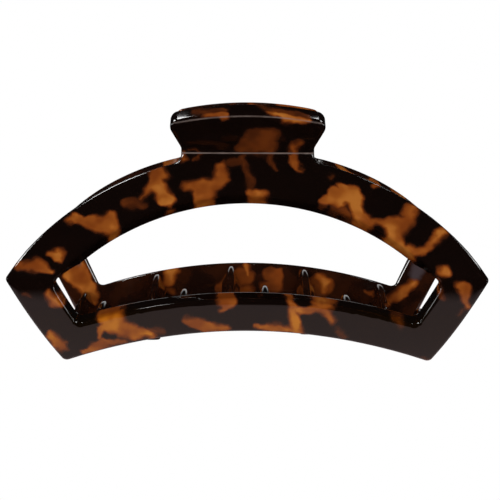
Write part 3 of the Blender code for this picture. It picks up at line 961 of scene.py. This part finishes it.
def tooth_solid(x, size, floor):
    """One tooth: a keeled claw that curves inwards and down from the bar."""
    base_limit = side_depth(abs(x) + TOOTH_WIDTH[0] * size / 2) - TOOTH_EDGE_MARGIN
    root_limit = base_limit - TOOTH_HEIGHT[0] * size
    root_depth = min(arc_depth(x, WINDOW_LOW_ARC) + TOOTH_ROOT_DROP, root_limit)
    root = bent(x, root_depth, SHEET)
    edge = bent(x, arc_depth(x, BOTTOM_ARC))
    lowest = max(edge.z - TOOTH_TIP_DROP, floor + TOOTH_CLEARANCE)
    bow = radians(TOOTH_BOW)
    tip = Vector((x, TOOTH_REACH, lowest + TOOTH_HEIGHT[1] * size * cos(bow)))
    chord = tip - root
    lean = atan2(chord.z, chord.y)
    radius = chord.length / (2 * sin(bow))
    centre_y = root.y + radius * sin(lean + bow)
    centre_z = root.z - radius * cos(lean + bow)
    first = lean + bow + TOOTH_SINK / radius
    last = lean - bow
    stations = [(k / TOOTH_SECTIONS, 0.0) for k in range(TOOTH_SECTIONS + 1)]
    stations += [(1.0, (k + 1) / TIP_SECTIONS) for k in range(TIP_SECTIONS)]
    rings = []
    for share, tip_share in stations:
        slope = lerp((first, last), share)
        quarter = tip_share * pi / 2
        shrink = size - (1.0 - cos(quarter)) * TIP_ROUND / TOOTH_HEIGHT[1]
        ahead = sin(quarter) * TIP_ROUND / 2
        height = lerp(TOOTH_HEIGHT, share)
        section = tooth_section(lerp(TOOTH_WIDTH, share) * shrink, height * shrink, shrink)
        crest = radius - height * (size - shrink) / 2
        rings.append([(
            x + across,
            centre_y - sin(slope) * (crest + up) + cos(slope) * ahead,
            centre_z + cos(slope) * (crest + up) + sin(slope) * ahead,
        ) for across, up in section])
    return loft(rings)


def circle(radius):
    angles = [2 * pi / PIN_SIDES * (k + 0.5) for k in range(PIN_SIDES)]
    return [Vector((radius * cos(angle), radius * sin(angle))) for angle in angles]


def lug_solid(span):
    """Hinge lug: a plate from the sheet's inner face to round the pin, with its hole."""
    root_y = bent(0.0, 0.0, SHEET).y - LUG_SINK
    root = [Vector((root_y, LUG_ROOT_HALF)), Vector((root_y, -LUG_ROOT_HALF))]
    nose = [point for point in circle(LUG_RADIUS) if point.x > LUG_NOSE_START]
    nose.sort(key=lambda point: atan2(point.y, point.x))
    hole = circle(PIN_HOLE_RADIUS)
    solid = plate([root + nose, hole[::-1]], span[1] - span[0], LUG_ROUND)
    middle = (span[0] + span[1]) / 2
    stand = Matrix(((0, 0, 1, middle), (1, 0, 0, 0), (0, 1, 0, 0), (0, 0, 0, 1)))
    bmesh.ops.transform(solid, matrix=stand, verts=solid.verts)
    return solid


def solid_object(name, solid):
    return new_object(name, solid_mesh(name, solid))


def finished_mesh(mesh, finish, angle):
    """One finish, smooth faces with creases above an angle in degrees, flats kept flat."""
    mesh.materials.clear()
    mesh.materials.append(finish)
    mesh.shade_smooth()
    mesh.set_sharp_from_angle(angle=radians(angle))
    holder = new_object("shading", mesh)
    weighted = holder.modifiers.new("flats kept flat", "WEIGHTED_NORMAL")
    weighted.mode = "FACE_AREA_WITH_ANGLE"
    weighted.keep_sharp = True
    return plain_mesh(holder)


def jaw_mesh(finish):
    """The jaw with its lugs and teeth fused on, mm, the hinge axis as the origin."""
    base = new_object("jaw", bent_sheet(finish))
    floor = min(vert.co.z for vert in base.data.vertices)
    extras = [solid_object("lug", lug_solid(span)) for span in LUG_SPANS]
    extras += [solid_object("tooth", tooth_solid(place, size, floor)) for place, size in TEETH]
    for extra in extras:
        union = base.modifiers.new(extra.name, "BOOLEAN")
        union.operation = "UNION"
        union.solver = "EXACT"
        union.object = extra
    mesh = plain_mesh(base)
    for extra in extras:
        bpy.data.objects.remove(extra, do_unlink=True)
    mesh = finished_mesh(mesh, finish, JAW_CREASE_ANGLE)
    points = np.empty(len(mesh.vertices) * 3)
    mesh.vertices.foreach_get("co", points)
    places = sheet_places(points.reshape(-1, 3))
    layer = mesh.attributes.new("sheet", "FLOAT_VECTOR", "POINT")
    layer.data.foreach_set("vector", places.astype(np.float32).ravel())
    return mesh


def placed(name, mesh, turn=0.0):
    """Object of a mesh made round the hinge in mm, turned upright and put there in metres."""
    mesh.name = name
    mesh.transform(Matrix.Translation((0.0, 0.0, HINGE_HEIGHT * MM))
                   @ Matrix.Rotation(turn, 4, "Z") @ Matrix.Scale(MM, 4))
    return new_object(name, mesh)


def place_jaw(name, mesh, finish, turn, body, node):
    own = mesh.copy()
    own.materials[0] = finish
    jaw = placed(name, own, turn)
    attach(jaw, body)
    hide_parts(node)


# Pin and spring

def pin_mesh(finish):
    """Turned pin along X with a domed head outside each outer lug, mm."""
    reach = max(abs(end) for span in LUG_SPANS for end in span) + GAP
    turned = [(0.0, reach + PIN_HEAD)]
    for k in range(PIN_HEAD_STEPS + 1):
        quarter = pi / 2 * k / PIN_HEAD_STEPS
        turned.append((PIN_HEAD_RADIUS - PIN_HEAD_ROUND * (1 - sin(quarter)),
                       reach + PIN_HEAD - PIN_HEAD_ROUND * (1 - cos(quarter))))
    turned += [(PIN_HEAD_RADIUS, reach + PIN_HEAD_CHAMFER),
               (PIN_HEAD_RADIUS - PIN_HEAD_CHAMFER, reach), (PIN_RADIUS, reach)]
    turned += [(radius, -along) for radius, along in reversed(turned)]
    profile = bmesh.new()
    verts = [profile.verts.new((along, 0.0, radius)) for radius, along in turned]
    for first, second in zip(verts, verts[1:]):
        profile.edges.new((first, second))
    pin = solid_object("pin", profile)
    screw = pin.modifiers.new("turned", "SCREW")
    screw.axis = "X"
    screw.steps = PIN_SIDES
    screw.use_merge_vertices = True
    screw.merge_threshold = WELD
    screw.use_normal_calculate = True
    return finished_mesh(plain_mesh(pin), finish, STEEL_CREASE_ANGLE)


def spring_points():
    """Centre line of the spring: a leg, the coil and the other leg, in mm."""
    mean_radius = PIN_RADIUS + GAP + WIRE_RADIUS
    foot = bent(0.0, LEG_REST_DEPTH, SHEET + WIRE_RADIUS + GAP)
    heel = bent(0.0, LEG_REST_DEPTH + LEG_FOOT, SHEET + WIRE_RADIUS + HEEL_GAP)
    to_heel = Vector((heel.y, heel.z))
    aim = atan2(to_heel.y, to_heel.x)
    start = aim + acos(mean_radius / to_heel.length)
    sweep = COIL_TURNS * 2 * pi + (pi - 2 * start) % (2 * pi)
    length = COIL_PITCH * sweep / (2 * pi)
    steps = round(sweep / (2 * pi) * COIL_POINTS)
    coil = []
    for step in range(steps + 1):
        share = step / steps
        angle = start + sweep * share
        coil.append(Vector((length * (share - 0.5), mean_radius * cos(angle),
                            mean_radius * sin(angle))))
    foot.x = coil[0].x
    heel.x = coil[0].x
    leg = [foot] + rounded_bend(foot, heel, coil[0], HEEL_ROUND)
    other_leg = [Vector((-point.x, -point.y, point.z)) for point in reversed(leg)]
    return leg + coil + other_leg


def rounded_bend(before, corner, after, reach):
    start = corner + (before - corner).normalized() * reach
    end = corner + (after - corner).normalized() * reach
    shares = [k / HEEL_STEPS for k in range(HEEL_STEPS + 1)]
    return [lerp((lerp((start, corner), share), lerp((corner, end), share)), share)
            for share in shares]


def wire_tree():
    tree, given = new_group("round wire", "Geometry", (
        ("path", "Geometry"), ("wire radius", "Float", 0.5), ("sides", "Int", 16),
        ("finish", "Material"),
    ), (("wire", "Geometry"),))
    section = add_node(tree, "GeometryNodeCurvePrimitiveCircle", {
        "Resolution": given["sides"], "Radius": given["wire radius"],
    })
    swept = add_node(tree, "GeometryNodeCurveToMesh", {
        "Curve": given["path"], "Profile Curve": section, "Fill Caps": True,
    })
    close_group(tree, wire=finished(tree, swept, given["finish"]))
    return tree


def spring_mesh(finish):
    path = bpy.data.curves.new("spring path", "CURVE")
    path.dimensions = "3D"
    add_spline(path, spring_points(), False)
    wire = run_tree(new_object("spring path", path), wire_tree(), {
        "wire radius": WIRE_RADIUS, "sides": WIRE_SIDES, "finish": finish,
    })
    return finished_mesh(solid_mesh("spring", welded(wire)), finish, STEEL_CREASE_ANGLE)


# The clip

front_finish = tortoiseshell("tortoiseshell acetate, front", AMBER_PATCHES, BROWN_PATCHES,
                             BLACK_PATCHES, None, front_chart,
                             least=0.07, brown_level=0.56, inner_glow=1.0)
back_finish = tortoiseshell("tortoiseshell acetate, back", BACK_AMBER_PATCHES,
                            BACK_BROWN_PATCHES, None, BACK_SHEEN_PATCHES, back_chart,
                            least=0.27, brown_level=0.68, inner_glow=1.35)
wire_finish = steel("spring steel wire", colour=(0.60, 0.585, 0.56), roughness=(0.20, 0.36),
                    stretch=(6.0, 1.0, 1.0))
pin_finish = steel("nickel pin", colour=(0.66, 0.64, 0.60), roughness=(0.16, 0.30),
                   stretch=(1.0, 0.15, 0.15))

shared_jaw = jaw_mesh(front_finish)
place_jaw("acetate_front_jaw", shared_jaw, front_finish, 0.0, "front", "front_jaw")
place_jaw("acetate_back_jaw", shared_jaw, back_finish, pi, "back", "back_jaw")

pin = placed("rivet_pin", pin_mesh(pin_finish))
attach(pin, "front")
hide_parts("hinge_pin")

spring = placed("torsion_spring", spring_mesh(wire_finish))
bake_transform(spring)
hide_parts("coil_spring")


# Studio

# Camera, mm, degrees and pixels
SHOT_TARGET = (0.66, 0.0, 23.55)
SHOT_DISTANCE = 310.04
SHOT_ELEVATION = 7.95
SHOT_TURN = -0.20
SHOT_ROLL = 0.21
LENS_PIXELS = 1247.8
PICTURE_PIXELS = 500.0
SENSOR_MM = 36.0

# What the gloss mirrors of the floor: zones in mm and their glow; the ray's length is in m
WHITE = (1.0, 1.0, 1.0, 1.0)
FLOOR_HALF = 3.0
FLOOR_GREY = (0.8, 0.8, 0.8, 1.0)
FLOOR_MIRRORED = (1.0, 0.75, 0.74, 1.0)
FLOOR_UNDER = (-12.0, -17.0)
FLOOR_AHEAD = (-73.0, -48.0)
FLOOR_GLOW = (0.05, 0.54)
FLOOR_BACK = (2.0, 7.0)
FLOOR_ASIDE = (36.0, 41.0)
FLOOR_ASIDE_GLOW = 0.6
FLOOR_REACH = (0.034, 0.023)

# What the gloss mirrors of the room: zones by the parts of the direction, and their glow
BEHIND_ASIDE = (0.34, 0.20)
BEHIND_BACK = (0.5, 0.8)
BEHIND_UP = (0.26, 0.16)
BEHIND_GLOW = 0.55
BESIDE_ASIDE = (0.90, 0.96)
BESIDE_UP = (0.14, 0.10)
BESIDE_GLOW = 5.0
HORIZON = (0.0, 0.03)
ROOM_GLOW = 0.006
ROOM_LIGHT = 0.30

# Softboxes: name, degrees right from behind and up, metres off, wide and high, radiance, surface
CLIP_MIDDLE = 0.025
SOFTBOXES = (
    ("front fill", -172.0, 6.0, 1.0, 1.2, 0.6, 3.6, "matt"),
    ("back fill", 8.0, 8.0, 1.0, 1.2, 0.6, 2.8, "matt"),
    ("tab strip left", -45.0, 61.5, 0.9, 0.06, 0.12, 9.0, "gloss"),
    ("tab strip right", 46.0, 60.5, 0.9, 0.06, 0.11, 8.0, "gloss"),
    ("arm strip left", -57.0, 65.0, 0.9, 0.20, 0.09, 26.0, "gloss"),
    ("side card left", -82.0, 43.0, 0.9, 0.42, 0.22, 20.0, "gloss"),
    ("side card right", 84.0, 42.0, 0.9, 0.42, 0.26, 10.0, "gloss"),
)


def add_camera():
    camera = bpy.data.cameras.new("camera")
    camera.sensor_width = SENSOR_MM
    camera.lens = LENS_PIXELS / PICTURE_PIXELS * SENSOR_MM
    camera.clip_start = 0.02
    camera.clip_end = 20.0
    holder = new_object("camera", camera)
    elevation = radians(SHOT_ELEVATION)
    turn = Matrix.Rotation(radians(SHOT_TURN), 4, "Z")
    back = turn @ Vector((0.0, -cos(elevation), sin(elevation)))
    spot = (Vector(SHOT_TARGET) + back * SHOT_DISTANCE) * MM
    holder.matrix_world = (Matrix.Translation(spot) @ turn
                           @ Matrix.Rotation(pi / 2 - elevation, 4, "X")
                           @ Matrix.Rotation(radians(SHOT_ROLL), 4, "Z"))
    bpy.context.scene.camera = holder


def ray(tree, output):
    return add_node(tree, "ShaderNodeLightPath", output=output)


def add_floor():
    """Pale floor: plain white to the camera, with soft edges to what the gloss mirrors."""
    mesh = bpy.data.meshes.new("floor")
    corners = ((-1, -1), (1, -1), (1, 1), (-1, 1))
    mesh.from_pydata([(x * FLOOR_HALF, y * FLOOR_HALF, 0.0) for x, y in corners],
                     [], [(0, 1, 2, 3)])
    finish, tree, place = new_material("pale floor")
    x, y, _ = place.split()
    ahead = y.spread(*FLOOR_UNDER) * y.spread(*FLOOR_AHEAD, *FLOOR_GLOW)
    aside = y.spread(*FLOOR_BACK) * abs(x).spread(*FLOOR_ASIDE, 0.0, FLOOR_ASIDE_GLOW)
    pale = (ahead + aside) * ray(tree, "Ray Length").spread(*FLOOR_REACH)
    seen = add_node(tree, "ShaderNodeEmission", {"Color": WHITE})
    mirrored = add_node(tree, "ShaderNodeEmission", {"Color": FLOOR_MIRRORED, "Strength": pale})
    matt = add_node(tree, "ShaderNodeBsdfDiffuse", {"Color": FLOOR_GREY})
    unseen = add_node(tree, "ShaderNodeMixShader", (ray(tree, "Is Glossy Ray"), matt, mirrored))
    whole = add_node(tree, "ShaderNodeMixShader", (ray(tree, "Is Camera Ray"), unseen, seen))
    end_tree(tree, "ShaderNodeOutputMaterial", whole)
    mesh.materials.append(finish)
    new_object("floor", mesh)


def add_softbox(name, azimuth, elevation, distance, width, height, radiance, surface):
    lamp = bpy.data.lights.new(name, "AREA")
    lamp.shape = "RECTANGLE"
    lamp.size = width
    lamp.size_y = height
    lamp.energy = radiance * pi * width * height
    holder = new_object(name, lamp)
    turn = radians(azimuth)
    lift = radians(elevation)
    away = Vector((sin(turn) * cos(lift), cos(turn) * cos(lift), sin(lift)))
    holder.location = away * distance + Vector((0.0, 0.0, CLIP_MIDDLE))
    holder.rotation_euler = away.to_track_quat("Z", "Y").to_euler()
    holder.visible_camera = False
    holder.visible_diffuse = surface == "matt"
    holder.visible_glossy = surface == "gloss"


def add_world():
    """White to the camera, even for the matt light, dark in front for the gloss."""
    world = bpy.data.worlds.new("studio")
    bpy.context.scene.world = world
    world.use_nodes = True
    tree = world.node_tree
    tree.nodes.clear()
    across, back, up = add_node(tree, "ShaderNodeTexCoord", output="Generated").split()
    aside = abs(across)
    behind = aside.spread(*BEHIND_ASIDE) * back.spread(*BEHIND_BACK)
    behind = behind * up.spread(*BEHIND_UP, 0.0, BEHIND_GLOW)
    beside = aside.spread(*BESIDE_ASIDE) * up.spread(*BESIDE_UP, 0.0, BESIDE_GLOW)
    glow = (behind + beside) * up.spread(*HORIZON) + ROOM_GLOW
    strength = ray(tree, "Is Glossy Ray").between(ROOM_LIGHT, glow)
    strength = ray(tree, "Is Camera Ray").between(strength, 1.0)
    end_tree(tree, "ShaderNodeOutputWorld", add_node(tree, "ShaderNodeBackground", {
        "Color": WHITE, "Strength": strength,
    }))


add_camera()
add_floor()
add_world()
for softbox in SOFTBOXES:
    add_softbox(*softbox)
bpy.context.scene.view_settings.view_transform = "Standard"
